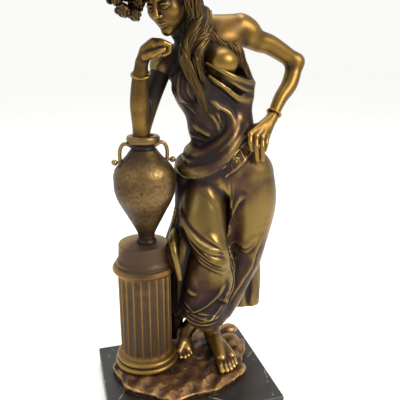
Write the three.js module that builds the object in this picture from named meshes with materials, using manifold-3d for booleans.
// Bronze statue of a draped woman who leans on an urn, on a marble plinth.
// Millimetres, +Z up. The origin is the middle of the plinth's underside, and she faces -Y.

import * as THREE from 'three';
import { mergeVertices } from 'three/addons/utils/BufferGeometryUtils.js';
import Module from 'manifold-3d';

const wasm = await Module();
wasm.setup();

// Driving dimensions
const PLINTH_LENGTH = 254;
const PLINTH_DEPTH = 203;
const PLINTH_THICKNESS = 30;
const PLINTH_BEVEL = 1.5;
const SEAT_GAP = 0.3;

const GROUND_THICKNESS = 15;
const FIGURE_HEIGHT = 580;

const COLUMN_X = -55;
const COLUMN_Y = 28;
const COLUMN_HEIGHT = 202;
const COLUMN_BASE_RADIUS = 50;
const COLUMN_BASE_HEIGHT = 18;
const SHAFT_RADIUS = 40.5;
const FLUTE_COUNT = 20;
const FLUTE_DEPTH = 3.2;
const FLANGE_RADIUS = 48.5;
const FLANGE_HEIGHT = 15;
const DRUM_HEIGHT = 36;

const URN_X = -50;
const URN_HEIGHT = 161;
const URN_BELLY_RADIUS = 45;
const URN_FOOT_RADIUS = 15;
const URN_NECK_RADIUS = 17;
const URN_RIM_RADIUS = 24;
const URN_RIM_HEIGHT = 11;
const URN_MOUTH_RADIUS = 14.5;
const URN_WALL = 3.5;
const HANDLE_REACH = 34;
const HANDLE_THICKNESS = 5.5;
const KNOB_RADIUS = 4.5;
const KNOB_REACH = 42;
const BRACELET_THICKNESS = 3.4;
const ELBOW_DEPTH = 5;
const ELBOW_RADIUS = 9.5;

// How finely the free form is cut into facets
const FIELD_STEP = 3;
const FIGURE_FACES = 5320;

const bronzeBottom = PLINTH_THICKNESS + SEAT_GAP;
const groundTop = bronzeBottom + GROUND_THICKNESS;
const columnTop = groundTop + COLUMN_HEIGHT;
const urnTop = columnTop + URN_HEIGHT;

// The figure's places are millimetres on a woman 580 tall, with z up from the rock she stands on
const DRAWN_HEIGHT = 580;
const grow = FIGURE_HEIGHT / DRAWN_HEIGHT;
const at = (x, y, z) => new THREE.Vector3(x * grow, y * grow, groundTop + z * grow);
const radians = THREE.MathUtils.degToRad;

const head = at(-18, 8, 546);
const neckTop = at(-4, 26, 520);
const neckBase = at(30, 45, 482);
const shoulderR = at(-16, 46, 457);
const shoulderL = at(102, 47, 508);
const wristR = at(-52, 9, 462);
const elbowL = at(196, 60, 460);
const wristL = at(146, 28, 380);
const elbowR = new THREE.Vector3(URN_X - 4, COLUMN_Y - 3, urnTop - ELBOW_DEPTH);

// Distance fields. A form has a function of a point, negative inside, and the box that it can reach
const smoothMin = (a, b, blend) => {
  const h = Math.max(blend - Math.abs(a - b), 0) / blend;
  return Math.min(a, b) - h * h * blend / 4;
};

const limb = (...stations) => {
  const reach = Math.max(...stations.map(s => s[1]));
  const box = new THREE.Box3().setFromPoints(stations.map(s => s[0])).expandByScalar(reach);
  const bones = stations.slice(1).map(([b, rb], i) => {
    const [a, ra] = stations[i];
    const d = b.clone().sub(a);
    return { a, d, ra, rb, l2: d.lengthSq() || 1 };
  });
  const distance = (x, y, z) => {
    let best = Infinity;
    for (const { a, d, ra, rb, l2 } of bones) {
      const px = x - a.x;
      const py = y - a.y;
      const pz = z - a.z;
      const t = Math.min(Math.max((px * d.x + py * d.y + pz * d.z) / l2, 0), 1);
      const gap = Math.sqrt((px - t * d.x) ** 2 + (py - t * d.y) ** 2 + (pz - t * d.z) ** 2);
      best = Math.min(best, gap - ra - t * (rb - ra));
    }
    return best;
  };
  return { box, distance };
};

// A limb along a smooth curve
const LOCK_STEPS = 9;
const lock = (...stations) => {
  const path = new THREE.CatmullRomCurve3(stations.map(s => s[0]), false, 'centripetal');
  const girth = new THREE.CatmullRomCurve3(stations.map((s, i) => new THREE.Vector3(i, s[1], 0)));
  const cuts = Array.from({ length: LOCK_STEPS + 1 }, (_, i) => i / LOCK_STEPS);
  return limb(...cuts.map(t => [path.getPoint(t), Math.max(girth.getPoint(t).y, 0.5)]));
};

// An ellipsoid whose own axes are turned by degrees about X, Y and Z
const mass = (centre, [rx, ry, rz], tilt = [0, 0, 0]) => {
  const turn = new THREE.Euler(...tilt.map(radians), 'ZYX');
  const e = new THREE.Matrix4().makeRotationFromEuler(turn).elements;
  const box = new THREE.Box3().setFromPoints([centre]).expandByScalar(Math.max(rx, ry, rz));
  const distance = (x, y, z) => {
    const px = x - centre.x;
    const py = y - centre.y;
    const pz = z - centre.z;
    const u = (px * e[0] + py * e[1] + pz * e[2]) / rx;
    const v = (px * e[4] + py * e[5] + pz * e[6]) / ry;
    const w = (px * e[8] + py * e[9] + pz * e[10]) / rz;
    const near = Math.sqrt(u * u + v * v + w * w);
    const slope = Math.sqrt((u / rx) ** 2 + (v / ry) ** 2 + (w / rz) ** 2);
    return slope < 1e-9 ? -Math.min(rx, ry, rz) : near * (near - 1) / slope;
  };
  return { box, distance };
};

// A block of samples of a field, far from every form until one is added
const FAR = 40;
class Field {
  constructor(low, high) {
    this.low = low;
    this.size = high.clone().sub(low).divideScalar(FIELD_STEP).toArray().map(n => Math.ceil(n) + 1);
    this.value = new Float32Array(this.size[0] * this.size[1] * this.size[2]).fill(FAR);
  }

  each(box, margin, change) {
    const from = box.min.clone().subScalar(margin).sub(this.low).divideScalar(FIELD_STEP).toArray();
    const to = box.max.clone().addScalar(margin).sub(this.low).divideScalar(FIELD_STEP).toArray();
    const first = from.map(n => Math.max(0, Math.floor(n)));
    const last = to.map((n, axis) => Math.min(this.size[axis] - 1, Math.ceil(n)));
    for (let k = first[2]; k <= last[2]; k++) {
      const z = this.low.z + k * FIELD_STEP;
      for (let j = first[1]; j <= last[1]; j++) {
        const y = this.low.y + j * FIELD_STEP;
        let spot = (k * this.size[1] + j) * this.size[0] + first[0];
        for (let i = first[0]; i <= last[0]; i++, spot++) {
          this.value[spot] = change(this.value[spot], this.low.x + i * FIELD_STEP, y, z);
        }
      }
    }
    return this;
  }

  add(blend, ...forms) {
    for (const { box, distance } of forms) {
      this.each(box, blend + 3 * FIELD_STEP, (old, x, y, z) => smoothMin(old, distance(x, y, z), blend));
    }
    return this;
  }

  everywhere(change) {
    const whole = new THREE.Box3(this.low, this.low.clone().addScalar(FAR * 100));
    return this.each(whole, 0, change);
  }

  // Joins another field of the same block
  join(other, blend) {
    for (let i = 0; i < this.value.length; i++) {
      this.value[i] = smoothMin(this.value[i], other.value[i], blend);
    }
    return this;
  }
}

// The head's own frame: to her left, the way she looks, and up
const HEAD_TURN = -42;
const HEAD_BOW = 28;
const HEAD_TILT = -6;
const headTurn = new THREE.Matrix4().makeRotationZ(radians(HEAD_TURN))
  .multiply(new THREE.Matrix4().makeRotationX(radians(HEAD_BOW)))
  .multiply(new THREE.Matrix4().makeRotationY(radians(HEAD_TILT)));
const onHead = (left, front, up) => new THREE.Vector3(left, -front, up)
  .multiplyScalar(grow).applyMatrix4(headTurn).add(head);
const headTilt = [HEAD_BOW, HEAD_TILT, HEAD_TURN];

const torsoForms = () => [
  mass(at(50, 46, 430), [50, 30, 52], [0, -20, 0]),
  mass(at(68, 46, 374), [46, 29, 46], [0, -18, 0]),
  mass(at(82, 45, 305), [58, 37, 48]),
  limb([shoulderR, 16], [at(26, 50, 474), 21], [at(62, 50, 486), 21], [shoulderL, 16]),
  mass(at(13, 17, 431), [19, 18, 20]),
  mass(at(62, 17, 462), [24, 20, 20]),
  mass(at(66, 66, 288), [34, 28, 36]),
  mass(at(104, 66, 288), [34, 28, 36]),
  mass(at(56, 35, 485), [46, 20, 26], [0, -20, 0]),
  limb([at(30, 46, 508), 16], [at(54, 44, 512), 14], [at(94, 44, 512), 15], [at(110, 46, 504), 14]),
];

const faceForms = () => [
  mass(onHead(0, -4, 10), [28, 34, 29], headTilt),
  mass(onHead(0, 10, -14), [21, 21, 27], headTilt),
  limb([onHead(-18, 0, -16), 7], [onHead(0, 23, -36), 7], [onHead(18, 0, -16), 7]),
  limb([onHead(0, 30, 3), 3], [onHead(0, 37, -12), 4.2]),
];

const armForms = () => [
  limb([shoulderR, 15], [at(-36, 38, 410), 13], [elbowR, ELBOW_RADIUS]),
  lock([elbowR, ELBOW_RADIUS], [at(-55, 21, 394), 12.3], [at(-55, 17, 412), 13.2],
    [at(-54, 13, 440), 11.3], [wristR, 8.3]),
  lock([shoulderL, 17], [at(126, 50, 492), 16], [at(152, 54, 484), 14.5], [elbowL, 12.5]),
  lock([elbowL, 12.5], [at(183, 50, 428), 12.5], [at(164, 40, 407), 10.5], [wristL, 8]),
];

const handForms = () => [
  limb([wristR, 8.3], [at(-46, 4, 477), 9.5], [at(-37, 0, 485), 9.5], [at(-28, -1, 487), 8.5]),
  limb([at(-27, -6, 487), 6], [at(-18, -6, 484), 5], [at(-20, -5, 476), 4.5], [at(-28, -4, 475), 4.5]),
  limb([at(-27, 4, 487), 6], [at(-18, 4, 484), 5], [at(-20, 4, 476), 4.5], [at(-28, 4, 475), 4.5]),
  ...[[[104, 9, 360], [102, 3, 350], [105, 3, 338]], [[113, 8, 357], [111, 2, 343], [114, 2, 323]],
    [[123, 9, 355], [121.5, 3, 342], [122, 2, 322]], [[132, 12, 356], [129, 6, 346], [127, 5, 336]]]
    .map(([knuckle, bend, tip]) => limb([wristL, 8], [at(...knuckle), 5.3], [at(...bend), 4.3],
      [at(...tip), 3.3])),
];

const legForms = () => [
  limb([at(50, 42, 288), 35], [at(38, 24, 230), 32], [at(52, 4, 165), 22],
    [at(56, 22, 95), 17.5], [at(55, 34, 26), 12]),
  limb([at(120, 46, 290), 36], [at(125, 43, 245), 35], [at(118, 41, 185), 28],
    [at(110, 42, 140), 22], [at(70, 58, 80), 18], [at(12, 46, 26), 11.5]),
];

const footForms = () => [
  limb([at(58, 46, 10), 11], [at(55, 34, 26), 12], [at(57, 10, 17), 11.5], [at(55, -18, 9), 9]),
  limb([at(60, 44, 9), 10], [at(66, 12, 12), 9.5], [at(73, -14, 7.5), 8]),
  ...[[49, -43, 4.7], [56.5, -44, 3.9], [63.5, -41.5, 3.7], [70, -37, 3.4], [76, -31, 3.2]]
    .map(([x, y, r]) => limb([at(x, y + 20, 7), r + 0.8], [at(x, y, 4.5), r])),
  limb([at(18, 62, 10), 10.5], [at(12, 46, 26), 11.5], [at(4, 30, 15), 10.5], [at(-4, 20, 8), 8]),
  limb([at(18, 60, 9), 9], [at(14, 34, 11), 9], [at(11, 22, 7), 7]),
  ...[[-10, 13, 3.1], [-4, 8.5, 3.4], [2.5, 7.5, 3.7], [8.5, 10.5, 3.9], [13.5, 16, 4.7]]
    .map(([x, y, r]) => limb([at(x + 2, y + 12, 7), r + 0.8], [at(x, y, 4.5), r])),
];

// The gown's girth: height, middle across, middle in depth, half width and half depth
const GIRTHS = [
  [20, 40, 50, 60, 40], [75, 46, 36, 52, 34], [125, 55, 34, 62, 38], [165, 66, 32, 74, 42],
  [220, 78, 38, 84, 46], [260, 82, 44, 82, 46], [305, 82, 46, 78, 46], [345, 74, 46, 62, 40],
  [378, 68, 46, 54, 36], [430, 48, 44, 64, 38], [500, 40, 46, 66, 34],
];
const girthAt = z => {
  const last = GIRTHS.length - 1;
  const i = Math.min(Math.max(GIRTHS.findIndex(g => g[0] > z), 1), last);
  const [a, b] = [GIRTHS[i - 1], GIRTHS[i]];
  const t = Math.min(Math.max((z - a[0]) / (b[0] - a[0]), 0), 1);
  return [1, 2, 3, 4].map(k => a[k] + t * (b[k] - a[k]));
};

// Relief is drawn round the body: an angle from her front towards her left, and a height
const ANGLE_STEP = 2.5;
const HEIGHT_STEP = 2;
const RELIEF_TOP = 520;
const ANGLES = 360 / ANGLE_STEP;
class Relief {
  constructor() {
    this.rows = RELIEF_TOP / HEIGHT_STEP + 1;
    this.depth = new Float32Array(ANGLES * this.rows);
  }

  // A fold through places given across and up, seen from the front or, with side -1, from behind
  fold(rise, width, side, ...places) {
    const turned = places.map(([x, z]) => {
      const [mx, , half] = girthAt(z);
      const across = Math.asin(Math.min(Math.max((x - mx) / half, -0.98), 0.98));
      return new THREE.Vector3(side > 0 ? across : Math.PI - across, z, 0);
    });
    const path = new THREE.CatmullRomCurve3(turned, false, 'centripetal');
    const marks = path.getPoints(places.length * 6);
    const low = Math.min(...marks.map(m => m.y)) - width;
    const high = Math.max(...marks.map(m => m.y)) + width;
    const from = Math.max(0, Math.floor(low / HEIGHT_STEP));
    const to = Math.min(this.rows - 1, Math.ceil(high / HEIGHT_STEP));
    for (let row = from; row <= to; row++) {
      const z = row * HEIGHT_STEP;
      const [, , half, deep] = girthAt(z);
      const round = (half + deep) / 2;
      for (let column = 0; column < ANGLES; column++) {
        const angle = radians(column * ANGLE_STEP);
        let near = Infinity;
        let along = 0;
        for (let i = 1; i < marks.length; i++) {
          const wrap = Math.round((angle - marks[i].x) / (2 * Math.PI)) * 2 * Math.PI;
          const ax = (marks[i - 1].x + wrap - angle) * round;
          const bx = (marks[i].x + wrap - angle) * round;
          const ay = marks[i - 1].y - z;
          const by = marks[i].y - z;
          const l2 = (bx - ax) ** 2 + (by - ay) ** 2 || 1;
          const t = Math.min(Math.max((-ax * (bx - ax) - ay * (by - ay)) / l2, 0), 1);
          const gap = Math.hypot(ax + t * (bx - ax), ay + t * (by - ay));
          if (gap < near) {
            near = gap;
            along = (i - 1 + t) / (marks.length - 1);
          }
        }
        if (near < width) {
          const fade = Math.min(1, 4 * Math.min(along, 1 - along) + 0.25);
          this.depth[row * ANGLES + column] += rise * fade * (1 - (near / width) ** 2) ** 2;
        }
      }
    }
    return this;
  }

  at(x, y, z) {
    const [mx, my, half, deep] = girthAt(z);
    const angle = Math.atan2((x - mx) / half, (my - y) / deep) / (2 * Math.PI);
    const column = (angle - Math.floor(angle)) * ANGLES;
    const row = Math.min(Math.max(z / HEIGHT_STEP, 0), this.rows - 1.001);
    const c = Math.floor(column) % ANGLES;
    const r = Math.floor(row);
    const [s, t] = [column - Math.floor(column), row - r];
    const pick = (dr, dc) => this.depth[(r + dr) * ANGLES + (c + dc) % ANGLES];
    return (1 - t) * ((1 - s) * pick(0, 0) + s * pick(0, 1)) + t * ((1 - s) * pick(1, 0) + s * pick(1, 1));
  }
}

const gownRelief = () => new Relief()
  // Rolled edge under the bare breast, and the rolls below it
  .fold(4.5, 7, 1, [30, 466], [52, 454], [76, 444], [96, 437], [116, 436])
  .fold(4, 7, 1, [40, 442], [66, 428], [90, 413], [112, 414])
  .fold(-2.5, 6, 1, [44, 450], [70, 437], [100, 425])
  // Long folds over the belly
  .fold(3, 8, 1, [34, 415], [58, 400], [76, 388], [74, 360], [58, 335])
  .fold(2.5, 7, 1, [90, 390], [82, 362], [64, 340])
  .fold(2.5, 7, 1, [18, 376], [32, 364], [46, 356])
  .fold(3, 8, 1, [4, 340], [22, 332], [36, 334])
  .fold(2.5, 7, 1, [0, 324], [18, 318], [34, 324])
  .fold(-2.5, 7, 1, [60, 405], [66, 375], [52, 345])
  .fold(-2.5, 6, 1, [96, 400], [92, 372], [78, 348])
  // The deep crease between the thighs, and the folds that wrap the front leg
  .fold(-9, 12, 1, [40, 296], [60, 262], [72, 230], [80, 190], [84, 150])
  .fold(4, 7, 1, [36, 290], [54, 264], [64, 236], [70, 205])
  .fold(3.5, 7, 1, [-2, 258], [14, 228], [40, 200], [60, 190])
  .fold(3.5, 7, 1, [4, 244], [24, 212], [50, 178], [62, 165])
  .fold(3, 6, 1, [40, 222], [60, 198], [68, 178])
  .fold(3.5, 7, 1, [66, 240], [84, 196], [94, 172])
  .fold(3, 8, 1, [104, 270], [86, 230], [82, 205])
  .fold(5, 8, 1, [118, 184], [100, 150], [84, 120], [72, 92])
  .fold(4, 8, 1, [70, 158], [72, 128], [66, 100])
  .fold(3, 7, 1, [52, 110], [68, 98], [76, 88])
  .fold(3, 7, 1, [24, 76], [44, 72], [60, 70])
  .fold(2.5, 7, 1, [4, 124], [24, 116])
  // The ornamental belt that slants up to her left hand
  .fold(2, 9, 1, [58, 312], [70, 319], [84, 329], [98, 340], [114, 354])
  // Folds behind, plainer
  .fold(4, 10, -1, [40, 300], [34, 220], [20, 120])
  .fold(4, 10, -1, [66, 300], [62, 220], [44, 110])
  .fold(4, 10, -1, [92, 300], [94, 210], [76, 110])
  .fold(4, 10, -1, [118, 300], [128, 220], [108, 120])
  .fold(3, 10, -1, [80, 470], [90, 430], [70, 380])
  .fold(3, 10, -1, [40, 470], [50, 420], [66, 370]);

// The gown's top edge: it covers her right shoulder and passes under her left breast
const NECKLINE = [[-60, 500], [0, 494], [12, 470], [34, 461], [76, 440], [96, 434], [150, 430]];
const neckline = x => {
  const i = Math.max(NECKLINE.findIndex(p => p[0] > x), 1);
  const [a, b] = [NECKLINE[i - 1], NECKLINE[i]];
  return a[1] + (b[1] - a[1]) * Math.max((x - a[0]) / (b[0] - a[0]), 0);
};
const HEM_HEIGHT = 44;
const hemline = x => HEM_HEIGHT + Math.min(0.0125 * (x - 52) ** 2, 42);

const GOWN_CLOTH = 2.5;
const LEFT_BREAST = 5;
const HEM_HOLLOW = 9;
const gownField = block => {
  const relief = gownRelief();
  const gown = block().add(14, ...torsoForms().filter((_, i) => i !== LEFT_BREAST), ...legForms());
  gown.add(12,
    limb([at(42, 22, 160), 28], [at(34, 28, 105), 31], [at(30, 30, 60), 30]),
    limb([at(104, 46, 140), 24], [at(90, 44, 100), 24], [at(70, 42, 62), 22]),
    limb([at(84, 64, 280), 40], [at(84, 66, 190), 36], [at(64, 58, 100), 28]));
  gown.everywhere((old, x, y, z) => {
    const up = (z - groundTop) / grow;
    if (old > 20) return old;
    const cloth = old - grow * (GOWN_CLOTH + relief.at(x / grow, y / grow, up));
    const hem = hemline(x / grow);
    const hollow = Math.max(old + 4, (up - hem - HEM_HOLLOW) * grow);
    return Math.max(cloth, (hem - up) * grow, (up - neckline(x / grow)) * grow, -hollow);
  });
  // Cloth that stands off her left side
  gown.add(12, lock([at(100, 42, 452), 12], [at(97, 38, 424), 22], [at(92, 40, 388), 24],
    [at(98, 42, 350), 26]));
  // The thick rolled edges under her bare breast
  gown.add(4,
    lock([at(36, 8, 461), 2], [at(53, 0, 453), 4], [at(76, -1, 442), 4.5], [at(101, 12, 433), 4.5], [at(114, 28, 432), 3]),
    lock([at(42, 10, 444), 2], [at(62, 7, 429), 4], [at(84, 10, 413), 5], [at(102, 22, 409), 5], [at(112, 36, 412), 4]));
  // The overfold's fat rolled hem, swooping from her left hip round to her right side
  gown.add(10,
    lock([at(98, 20, 370), 5], [at(84, 8, 352), 6], [at(64, 2, 331), 8], [at(42, 3, 317), 9.5],
      [at(24, 7, 311), 10.5], [at(10, 22, 311), 10], [at(8, 42, 316), 10], [at(20, 62, 322), 9]),
    lock([at(88, 20, 380), 8], [at(66, 14, 352), 11], [at(44, 15, 336), 12], [at(28, 20, 330), 13],
      [at(22, 40, 334), 14]));
  // Cloth that hangs between the column and her leg, and its end over the column's top
  gown.add(6,
    lock([at(16, 46, 304), 18], [at(14, 50, 240), 15], [at(-2, 54, 180), 16], [at(-4, 56, 110), 16],
      [at(0, 60, 48), 13], [at(0, 62, 28), 12]),
    lock([at(20, 30, 250), 14], [at(8, 34, 180), 14], [at(4, 38, 110), 13], [at(6, 42, 66), 11]),
    lock([at(0, 40, 214), 6], [at(-12, 14, 208), 7], [at(-16, -4, 196), 6], [at(-11, -8, 170), 5],
      [at(-8, -6, 150), 4]));
  // The wrap that hangs behind in deep pleats
  const PLEATS = 8;
  for (let i = 0; i < PLEATS; i++) {
    const t = i / (PLEATS - 1);
    const out = i % 2 ? 4 : -2;
    gown.add(7, lock([at(48 + 78 * t, 84 + out, 268), 13], [at(36 + 104 * t, 84 + out, 190), 11],
      [at(30 + 122 * t, 82 + out, 110), 11], [at(32 + 122 * t, 80 + out, 54 - 10 * t), 9.5]));
  }
  return gown;
};

const skinField = block => {
  const body = block().add(12, ...torsoForms());
  body.add(10, limb([neckBase, 19], [neckTop, 16.5], [onHead(0, -8, -14), 17]));
  body.everywhere((old, x, y, z) => {
    const up = (z - groundTop) / grow;
    return Math.max(old, (neckline(x / grow) - 10 - up) * grow);
  });
  const legs = block().add(8, ...legForms()).add(5, ...footForms());
  legs.everywhere((old, x, y, z) => Math.max(old, z - groundTop - (HEM_HEIGHT + 40) * grow));
  return body.join(legs, 1).add(8, ...armForms()).add(5, ...faceForms()).add(2.5, ...handForms());
};

const CURLS = 9;
const hairField = block => {
  const hair = block().add(8, mass(onHead(0, -8, 14), [33, 36, 30], headTilt));
  // A wreath of large curls, fullest over her right temple
  for (let i = 0; i < CURLS; i++) {
    const turn = radians(-110 + 200 * i / (CURLS - 1));
    hair.add(2, mass(onHead(32 * Math.sin(turn), 30 * Math.cos(turn), 26), [10, 10, 9]));
  }
  hair.add(2, ...[[-82, 2, 540, 9], [-74, -3, 527, 9], [-60, -6, 522, 8.5], [-68, 0, 546, 11],
    [-56, -2, 536, 10],
    [-60, 6, 560, 11], [-46, 4, 566, 11]].map(([x, y, z, r]) => mass(at(x, y, z), [r, r, r])));
  // The mass beside her face, and the fall down her back
  hair.add(8,
    lock([onHead(27, -8, 12), 21], [at(20, 12, 522), 18], [at(26, 12, 500), 15], [at(24, 12, 474), 11],
      [at(30, 14, 452), 6]),
    lock([onHead(6, -26, 6), 26], [at(28, 56, 520), 24], [at(40, 76, 478), 19], [at(48, 80, 430), 13],
      [at(52, 76, 392), 5]));
  hair.add(8, lock([at(34, 12, 518), 13], [at(24, 6, 494), 13], [at(16, 4, 470), 11],
    [at(20, 6, 440), 8], [at(32, 10, 414), 3]));
  // Locks over her breast and her left shoulder
  hair.add(2,
    lock([at(26, 6, 530), 8], [at(22, 0, 512), 8], [at(7, -5, 487), 8], [at(2, -9, 468), 7.5],
      [at(9, -9, 448), 7], [at(22, -5, 426), 6.5], [at(31, 4, 406), 4.5], [at(42, 10, 388), 1.5]),
    lock([at(36, 8, 528), 7], [at(36, 4, 498), 7.5], [at(24, -4, 480), 7], [at(18, -7, 465), 6],
      [at(24, -4, 448), 5], [at(34, 2, 432), 2]),
    lock([at(38, 18, 515), 7], [at(54, 26, 502), 6.5], [at(73, 26, 494), 6], [at(88, 22, 480), 6],
      [at(93, 20, 464), 5.5],
      [at(101, 22, 448), 5], [at(108, 24, 430), 2]),
    lock([at(40, 16, 503), 6], [at(56, 18, 490), 6], [at(72, 16, 483), 5.5], [at(84, 14, 472), 5],
      [at(90, 16, 455), 2]));
  return hair;
};

// The rock: how far its rim is from its middle at each bearing, in degrees and millimetres
const ROCK_MIDDLE = [0, 12];
const ROCK_RIM = [[21, 119], [37, 120], [90, 82], [136, 98], [178, 110], [235, 94], [273, 85],
  [344, 100], [381, 119]];
const rockReach = bearing => {
  const turned = bearing < ROCK_RIM[0][0] ? bearing + 360 : bearing;
  const i = Math.max(ROCK_RIM.findIndex(p => p[0] > turned), 1);
  const [a, b] = [ROCK_RIM[i - 1], ROCK_RIM[i]];
  const t = (turned - a[0]) / (b[0] - a[0]);
  return a[1] + (b[1] - a[1]) * (1 - Math.cos(Math.PI * t)) / 2;
};
const rockWave = (x, y) => Math.sin(0.10 * x + 1.6 * Math.sin(0.06 * y)) * Math.sin(0.13 * y + 1.2 * Math.sin(0.07 * x))
  + 0.5 * Math.sin(0.23 * x - 0.17 * y + 1);

const rockField = block => {
  const rock = block();
  const low = new THREE.Vector3(-130, -100, bronzeBottom - 4);
  const high = new THREE.Vector3(135, 105, groundTop + 14);
  rock.each(new THREE.Box3(low, high), 0, (old, x, y, z) => {
    const [dx, dy] = [x - ROCK_MIDDLE[0], y - ROCK_MIDDLE[1]];
    const out = Math.hypot(dx, dy);
    const bearing = (THREE.MathUtils.radToDeg(Math.atan2(dy, dx)) + 360) % 360;
    const wave = rockWave(x, y);
    const reach = rockReach(bearing) + 2.5 * Math.sin(radians(bearing * 9)) + 1.5 * wave;
    const top = groundTop + 1.8 * wave - 6 * (out / reach) ** 6;
    return Math.max((z - top) * 0.85, (out - reach) * 0.9);
  });
  return rock.add(6, mass(at(92, 44, -2), [15, 18, 9]), mass(at(100, 78, -3), [17, 13, 10]));
};

// Cuts a field into facets: each cell is six tetrahedra that share its long diagonal
const ROUTES = [[1, 2, 4], [2, 4, 1], [4, 1, 2], [2, 1, 4], [1, 4, 2], [4, 2, 1]];
const SPLITS = {
  1: [0, 1, 2, 3], 2: [1, 0, 3, 2], 4: [2, 3, 0, 1], 8: [3, 2, 1, 0],
  3: [0, 1, 2, 3], 5: [0, 2, 3, 1], 9: [0, 3, 1, 2], 6: [1, 2, 0, 3], 10: [1, 3, 2, 0], 12: [2, 3, 0, 1],
};
const facet = field => {
  const [nx, ny, nz] = field.size;
  const jump = corner => (corner & 1) + (corner & 2 ? nx : 0) + (corner & 4 ? nx * ny : 0);
  const jumps = [0, 1, 2, 3, 4, 5, 6, 7].map(jump);
  const points = [];
  const faces = [];
  const made = new Map();
  const crossing = (cell, a, b) => {
    const [low, high] = a < b ? [a, b] : [b, a];
    const spot = cell + jumps[low];
    const key = spot * 8 + (high - low);
    if (made.has(key)) return made.get(key);
    const [va, vb] = [field.value[spot], field.value[cell + jumps[high]]];
    const t = Math.min(Math.max(va / (va - vb), 0.02), 0.98);
    const i = spot % nx;
    const j = Math.floor(spot / nx) % ny;
    const k = Math.floor(spot / (nx * ny));
    const way = high - low;
    points.push(
      field.low.x + FIELD_STEP * (i + (way & 1 ? t : 0)),
      field.low.y + FIELD_STEP * (j + (way & 2 ? t : 0)),
      field.low.z + FIELD_STEP * (k + (way & 4 ? t : 0)));
    made.set(key, points.length / 3 - 1);
    return points.length / 3 - 1;
  };
  for (let k = 0; k < nz - 1; k++) {
    for (let j = 0; j < ny - 1; j++) {
      for (let i = 0; i < nx - 1; i++) {
        const cell = (k * ny + j) * nx + i;
        let inside = 0;
        for (let c = 0; c < 8; c++) inside += field.value[cell + jumps[c]] < 0 ? 1 : 0;
        if (inside === 0 || inside === 8) continue;
        ROUTES.forEach((route, r) => {
          const corners = [0, route[0], route[0] | route[1], 7];
          if (r > 2) corners.splice(1, 2, corners[2], corners[1]);
          const code = corners.reduce((sum, c,
            n) => sum + (field.value[cell + jumps[c]] < 0 ? 1 << n : 0), 0);
          if (code === 0 || code === 15) return;
          const flip = [7, 11, 13, 14].includes(code);
          const [a, b, c, d] = SPLITS[flip ? 15 - code : code].map(n => corners[n]);
          if (flip || [1, 2, 4, 8].includes(code)) {
            const [p, q, s] = [crossing(cell, a, b), crossing(cell, a, c), crossing(cell, a, d)];
            faces.push(...(flip ? [p, s, q] : [p, q, s]));
          } else {
            const [ac, ad, bd, bc] = [[a, c], [a, d], [b, d], [b, c]].map(e => crossing(cell, ...e));
            faces.push(ac, bd, bc, ac, ad, bd);
          }
        });
      }
    }
  }
  return { points, faces };
};

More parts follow.
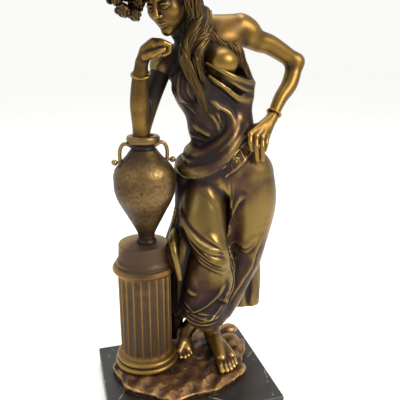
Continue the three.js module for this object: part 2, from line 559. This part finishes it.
// Thins a closed mesh by drawing its flattest edges together, cheapest first, and keeps it closed
const thin = ({ points, faces }, target) => {
  const p = Float64Array.from(points);
  const tri = Int32Array.from(faces);
  const count = p.length / 3;
  const alive = new Uint8Array(tri.length / 3).fill(1);
  const around = Array.from({ length: count }, () => []);
  for (let i = 0; i < tri.length; i++) around[tri[i]].push((i / 3) | 0);

  // Ten numbers for each point give its squared distance to the planes it stands for
  const q = new Float64Array(count * 10);
  for (let f = 0; f < alive.length; f++) {
    const [a, b, c] = [3 * tri[3 * f], 3 * tri[3 * f + 1], 3 * tri[3 * f + 2]];
    const [ux, uy, uz] = [p[b] - p[a], p[b + 1] - p[a + 1], p[b + 2] - p[a + 2]];
    const [vx, vy, vz] = [p[c] - p[a], p[c + 1] - p[a + 1], p[c + 2] - p[a + 2]];
    const [nx, ny, nz] = [uy * vz - uz * vy, uz * vx - ux * vz, ux * vy - uy * vx];
    const area = Math.sqrt(nx * nx + ny * ny + nz * nz) || 1e-12;
    const [x, y, z] = [nx / area, ny / area, nz / area];
    const w = -(x * p[a] + y * p[a + 1] + z * p[a + 2]);
    const terms = [x * x, x * y, x * z, x * w, y * y, y * z, y * w, z * z, z * w, w * w];
    for (const v of [a, b, c]) {
      for (let m = 0; m < 10; m++) q[v / 3 * 10 + m] += terms[m] * area;
    }
  }

  // The best place for the point that two would become, and what it costs
  const s = new Float64Array(10);
  const spot = [0, 0, 0];
  const costAt = (x, y, z) => s[0] * x * x + 2 * s[1] * x * y + 2 * s[2] * x * z + 2 * s[3] * x
    + s[4] * y * y + 2 * s[5] * y * z + 2 * s[6] * y + s[7] * z * z + 2 * s[8] * z + s[9];
  const settle = (a, b) => {
    for (let m = 0; m < 10; m++) s[m] = q[a * 10 + m] + q[b * 10 + m];
    const [mx, my, mz] = [0, 1, 2].map(k => (p[3 * a + k] + p[3 * b + k]) / 2);
    const [c0, c1, c2] = [s[4] * s[7] - s[5] * s[5], s[2] * s[5] - s[1] * s[7], s[1] * s[5] - s[2] * s[4]];
    const det = s[0] * c0 + s[1] * c1 + s[2] * c2;
    spot[0] = mx;
    spot[1] = my;
    spot[2] = mz;
    if (det > 1e-4 * (s[0] + s[4] + s[7]) ** 3) {
      const [d1, d2, d3] = [s[0] * s[7] - s[2] * s[2], s[1] * s[2] - s[0] * s[5],
        s[0] * s[4] - s[1] * s[1]];
      const x = -(c0 * s[3] + c1 * s[6] + c2 * s[8]) / det;
      const y = -(c1 * s[3] + d1 * s[6] + d2 * s[8]) / det;
      const z = -(c2 * s[3] + d2 * s[6] + d3 * s[8]) / det;
      const length = Math.hypot(p[3 * a] - mx, p[3 * a + 1] - my, p[3 * a + 2] - mz);
      if (Math.hypot(x - mx, y - my, z - mz) < 3 * length) {
        spot[0] = x;
        spot[1] = y;
        spot[2] = z;
      }
    }
    return costAt(...spot);
  };

  const heap = [];
  const stamp = new Int32Array(count);
  const push = item => {
    let i = heap.push(item) - 1;
    while (i > 0) {
      const parent = (i - 1) >> 1;
      if (heap[parent][0] <= item[0]) break;
      heap[i] = heap[parent];
      i = parent;
    }
    heap[i] = item;
  };
  const pop = () => {
    const top = heap[0];
    const last = heap.pop();
    if (!heap.length) return top;
    let i = 0;
    while (2 * i + 1 < heap.length) {
      let child = 2 * i + 1;
      if (child + 1 < heap.length && heap[child + 1][0] < heap[child][0]) child++;
      if (heap[child][0] >= last[0]) break;
      heap[i] = heap[child];
      i = child;
    }
    heap[i] = last;
    return top;
  };
  const consider = (a, b) => push([settle(a, b), a, b, stamp[a], stamp[b]]);
  for (let f = 0; f < alive.length; f++) {
    for (let k = 0; k < 3; k++) {
      const [a, b] = [tri[3 * f + k], tri[3 * f + (k + 1) % 3]];
      if (a < b) consider(a, b);
    }
  }
  const neighbours = v => {
    const near = new Set();
    for (const f of around[v]) for (let k = 0; k < 3; k++) near.add(tri[3 * f + k]);
    near.delete(v);
    return near;
  };
  const has = (f, v) => tri[3 * f] === v || tri[3 * f + 1] === v || tri[3 * f + 2] === v;
  const flips = (v, other) => around[v].some(f => {
    if (has(f, other)) return false;
    const turn = tri[3 * f] === v ? 0 : tri[3 * f + 1] === v ? 1 : 2;
    const [b, c] = [3 * tri[3 * f + (turn + 1) % 3], 3 * tri[3 * f + (turn + 2) % 3]];
    const [ex, ey, ez] = [p[c] - p[b], p[c + 1] - p[b + 1], p[c + 2] - p[b + 2]];
    const [ox, oy, oz] = [p[3 * v] - p[b], p[3 * v + 1] - p[b + 1], p[3 * v + 2] - p[b + 2]];
    const [wx, wy, wz] = [spot[0] - p[b], spot[1] - p[b + 1], spot[2] - p[b + 2]];
    const [ax, ay, az] = [ey * oz - ez * oy, ez * ox - ex * oz, ex * oy - ey * ox];
    const [bx, by, bz] = [ey * wz - ez * wy, ez * wx - ex * wz, ex * wy - ey * wx];
    const both = Math.sqrt((ax * ax + ay * ay + az * az) * (bx * bx + by * by + bz * bz));
    return ax * bx + ay * by + az * bz < 0.2 * both + 1e-9;
  });
  let left = alive.length;
  while (left > target && heap.length) {
    const [, a, b, sa, sb] = pop();
    if (stamp[a] !== sa || stamp[b] !== sb) continue;
    const [na, nb] = [neighbours(a), neighbours(b)];
    let shared = 0;
    for (const v of na) if (nb.has(v)) shared++;
    if (shared !== 2 || na.size + nb.size < 8) continue;
    settle(a, b);
    if (flips(a, b) || flips(b, a)) continue;
    for (const f of around[b]) {
      if (has(f, a)) {
        alive[f] = 0;
        left--;
        for (let k = 0; k < 3; k++) {
          const v = tri[3 * f + k];
          if (v !== b) around[v] = around[v].filter(g => g !== f);
        }
      } else {
        for (let k = 0; k < 3; k++) if (tri[3 * f + k] === b) tri[3 * f + k] = a;
        around[a].push(f);
      }
    }
    around[b] = [];
    stamp[a]++;
    stamp[b] = -1;
    for (let k = 0; k < 3; k++) p[3 * a + k] = spot[k];
    for (let m = 0; m < 10; m++) q[a * 10 + m] += q[b * 10 + m];
    for (const v of neighbours(a)) consider(a, v);
  }
  const renamed = new Map();
  const index = [];
  for (let i = 0; i < tri.length; i++) {
    if (!alive[(i / 3) | 0]) continue;
    if (!renamed.has(tri[i])) renamed.set(tri[i], renamed.size);
    index.push(renamed.get(tri[i]));
  }
  const position = [...renamed.keys()].flatMap(v => [p[3 * v], p[3 * v + 1], p[3 * v + 2]]);
  return { points: position, faces: index };
};

const shell = ({ points, faces }) => {
  const geometry = new THREE.BufferGeometry();
  geometry.setAttribute('position', new THREE.Float32BufferAttribute(points, 3));
  geometry.setIndex(faces);
  return geometry;
};

const figureShell = () => {
  const low = new THREE.Vector3(-130, -100, bronzeBottom - 8);
  const high = at(225, 120, 610);
  const block = () => new Field(low, high);
  const whole = skinField(block).join(gownField(block), 1.5).join(hairField(block),
    1.5).join(rockField(block), 2);
  return shell(thin(facet(whole), FIGURE_FACES));
};

// Solids that are joined and cut
const solid = geometry => {
  const bare = geometry.clone();
  bare.deleteAttribute('normal');
  bare.deleteAttribute('uv');
  const merged = mergeVertices(bare, 1e-4);
  return new wasm.Manifold(new wasm.Mesh({
    numProp: 3,
    vertProperties: new Float32Array(merged.attributes.position.array),
    triVerts: new Uint32Array(merged.index.array),
  }));
};
const geometryOf = body => {
  const mesh = body.getMesh();
  return shell({ points: mesh.vertProperties, faces: Array.from(mesh.triVerts) });
};

const ROUND_SIDES = 28;
const turned = (profile, x, y, z, sides = ROUND_SIDES) => new THREE.LatheGeometry(profile, sides)
  .rotateX(Math.PI / 2).translate(x, y, z);
const arc = (cx, cy, radius, from, to, steps) => Array.from({ length: steps + 1 }, (_, i) => {
  const a = radians(from + (to - from) * i / steps);
  return new THREE.Vector2(cx + radius * Math.cos(a), cy + radius * Math.sin(a));
});
const corner = (r, h) => new THREE.Vector2(r, h);

const COLUMN_SINK = 6;
const fluted = (radius, height, z) => {
  const shape = new THREE.Shape();
  const fluteWidth = 2 * Math.PI / FLUTE_COUNT;
  const STEPS = 4;
  for (let i = 0; i < FLUTE_COUNT * STEPS; i++) {
    const t = (i % STEPS) / STEPS;
    const dip = t === 0 ? 0 : FLUTE_DEPTH * Math.sin(Math.PI * t) ** 0.6;
    const angle = fluteWidth * (Math.floor(i / STEPS) + t);
    shape[i ? 'lineTo' : 'moveTo']((radius - dip) * Math.cos(angle), (radius - dip) * Math.sin(angle));
  }
  shape.closePath();
  return new THREE.ExtrudeGeometry(shape, { depth: height, bevelEnabled: false }).translate(COLUMN_X,
    COLUMN_Y, z);
};

const column = () => {
  const half = COLUMN_BASE_HEIGHT / 2;
  const shaftTop = COLUMN_HEIGHT - DRUM_HEIGHT - FLANGE_HEIGHT / 2;
  const base = turned([
    corner(0, -COLUMN_SINK), corner(COLUMN_BASE_RADIUS - 3, -COLUMN_SINK),
    ...arc(COLUMN_BASE_RADIUS - half / 2, half / 2, half / 2, -70, 80, 4),
    ...arc(COLUMN_BASE_RADIUS - half / 2 - 3, 1.5 * half, half / 2, -70, 80, 4),
    corner(SHAFT_RADIUS - 1, COLUMN_BASE_HEIGHT + 2), corner(0, COLUMN_BASE_HEIGHT + 2),
  ], COLUMN_X, COLUMN_Y, groundTop);
  const cap = turned([
    corner(0, shaftTop - 3), corner(SHAFT_RADIUS, shaftTop - 3), corner(FLANGE_RADIUS - 2, shaftTop),
    corner(FLANGE_RADIUS, shaftTop + 4), corner(FLANGE_RADIUS - 2, shaftTop + 9),
    corner(SHAFT_RADIUS + 1, shaftTop + 11), corner(SHAFT_RADIUS + 3, shaftTop + FLANGE_HEIGHT),
    corner(SHAFT_RADIUS, shaftTop + FLANGE_HEIGHT + 5), corner(SHAFT_RADIUS - 1, COLUMN_HEIGHT - 1),
    corner(SHAFT_RADIUS - 2, COLUMN_HEIGHT), corner(0, COLUMN_HEIGHT),
  ], COLUMN_X, COLUMN_Y, groundTop);
  return solid(base).add(solid(cap))
    .add(solid(fluted(SHAFT_RADIUS, shaftTop - COLUMN_BASE_HEIGHT + 2,
      groundTop + COLUMN_BASE_HEIGHT - 1)));
};

// Radius of the urn's outside at a share of the height of its body, foot to neck
const URN_BODY = [[0, 0], [0.08, 0.06], [0.28, 0.48], [0.48, 0.88], [0.64, 1], [0.79, 0.88],
  [0.93, 0.3], [1, 0.04]];
const urnSide = wall => {
  const bodyTop = URN_HEIGHT - URN_RIM_HEIGHT - 8;
  const radii = new THREE.SplineCurve(URN_BODY.map(([share, swell]) => {
    const thin = share < 0.3 ? URN_FOOT_RADIUS - 3 : URN_NECK_RADIUS;
    return new THREE.Vector2(thin + swell * (URN_BELLY_RADIUS - thin) - wall, 6 + share * (bodyTop - 6));
  }));
  return radii.getPoints(11);
};

// The turned body and the hollow in it. With room, both are grown by that much all round
const urnBody = room => {
  const neck = URN_HEIGHT - URN_RIM_HEIGHT;
  const foot = URN_FOOT_RADIUS + room;
  const rim = URN_RIM_RADIUS + room;
  const outside = turned([
    corner(0, SEAT_GAP - room), corner(foot, SEAT_GAP - room), corner(foot, 3), corner(foot - 2, 5),
    ...urnSide(-room).slice(1), corner(URN_NECK_RADIUS + room, neck - 3), corner(rim - 1, neck + 1),
    corner(rim, neck + 4), corner(rim, URN_HEIGHT - 3), corner(rim - 2, URN_HEIGHT + room), corner(0,
      URN_HEIGHT + room),
  ], URN_X, COLUMN_Y, columnTop, 24);
  const cavityFloor = 30;
  const mouth = URN_MOUTH_RADIUS - room;
  const inside = turned([
    corner(0, cavityFloor), ...urnSide(URN_WALL + room).filter(v => v.y > cavityFloor + 2),
    corner(URN_NECK_RADIUS - URN_WALL - room, neck), corner(mouth, neck + 4), corner(mouth, URN_HEIGHT + 3),
    corner(0, URN_HEIGHT + 3),
  ], URN_X, COLUMN_Y, columnTop, 16);
  return [solid(outside), solid(inside)];
};

const handle = (side, room) => {
  const reach = side * HANDLE_REACH;
  const path = new THREE.CatmullRomCurve3([
    [side * (URN_NECK_RADIUS - 3), URN_HEIGHT - 17], [side * (URN_NECK_RADIUS + 8), URN_HEIGHT - 11],
    [reach - side * 3, URN_HEIGHT - 14], [reach, URN_HEIGHT - 22], [reach, URN_HEIGHT - 34],
    [reach - side * 3, URN_HEIGHT - 46],
  ].map(([x, z]) => new THREE.Vector3(URN_X + x, COLUMN_Y, columnTop + z)));
  const section = new THREE.Shape().absarc(0, 0, HANDLE_THICKNESS / 2 + room, 0, 2 * Math.PI, false);
  return solid(new THREE.ExtrudeGeometry(section, { extrudePath: path, steps: 9, curveSegments: 6 }));
};

// A round knob stands out beside the foot of each handle, on a short stalk
const KNOB_HEIGHT = URN_HEIGHT - 37;
const knob = (side, room) => {
  const stalk = new THREE.CylinderGeometry(2 + room, 2 + room, 10, 6).rotateZ(Math.PI / 2)
    .translate(URN_X + side * (KNOB_REACH - 5), COLUMN_Y, columnTop + KNOB_HEIGHT - 1);
  const ball = new THREE.SphereGeometry(KNOB_RADIUS + room, 8, 6)
    .translate(URN_X + side * KNOB_REACH, COLUMN_Y, columnTop + KNOB_HEIGHT);
  return solid(stalk).add(solid(ball));
};

const urn = room => {
  const [outside, inside] = urnBody(room);
  return outside.add(handle(-1, room)).add(handle(1, room)).add(knob(-1, room)).add(knob(1,
    room)).subtract(inside);
};

// A bangle round an arm: its middle, the arm's way and its radius
const bangle = (middle, way, radius) => {
  const turn = new THREE.Quaternion().setFromUnitVectors(new THREE.Vector3(0, 0, 1),
    way.clone().normalize());
  return solid(new THREE.TorusGeometry(radius, BRACELET_THICKNESS / 2, 5, 14)
    .applyQuaternion(turn).translate(...middle.toArray()));
};
const bangles = () => {
  const forearmL = at(164, 40, 407).sub(wristL);
  return bangle(at(-53, 12, 447), at(-2, -9, 462).sub(at(0, 0, 440)), 12.5)
    .add(bangle(wristL.clone().lerp(at(164, 40, 407), 0.25), forearmL, 10.5));
};

// The figure, column and ground, with room left round the urn
const bronzeGroup = () => {
  const under = solid(new THREE.BoxGeometry(400, 400, 40).translate(0, 0, bronzeBottom - 20));
  const whole = solid(figureShell()).add(bangles()).add(column()).subtract(under).subtract(urn(SEAT_GAP));
  // Crumbs that the field leaves inside or beside the figure are dropped
  const [main] = whole.decompose().sort((a, b) => b.volume() - a.volume());
  return geometryOf(main);
};

const plinth = () => {
  const [a, b] = [PLINTH_LENGTH / 2 - PLINTH_BEVEL, PLINTH_DEPTH / 2 - PLINTH_BEVEL];
  const outline = new THREE.Shape([corner(-a, -b), corner(a, -b), corner(a, b), corner(-a, b)]);
  return new THREE.ExtrudeGeometry(outline, {
    depth: PLINTH_THICKNESS - 2 * PLINTH_BEVEL, bevelThickness: PLINTH_BEVEL, bevelSize: PLINTH_BEVEL,
      bevelSegments: 1,
  }).translate(0, 0, PLINTH_BEVEL);
};

const patina = new THREE.MeshStandardMaterial({ color: 0x7a5a2e, roughness: 0.38, metalness: 1 });
const bronze = new THREE.Mesh(bronzeGroup(), patina);
bronze.name = 'bronze_figure_group';
const vessel = new THREE.Mesh(geometryOf(urn(0)), patina);
vessel.name = 'bronze_urn';

const marble = new THREE.Mesh(plinth(), new THREE.MeshStandardMaterial({
  color: 0x2a2624, roughness: 0.22, metalness: 0,
}));
marble.name = 'marble_plinth';

const statue = new THREE.Group();
statue.add(marble, bronze, vessel);

export default statue;
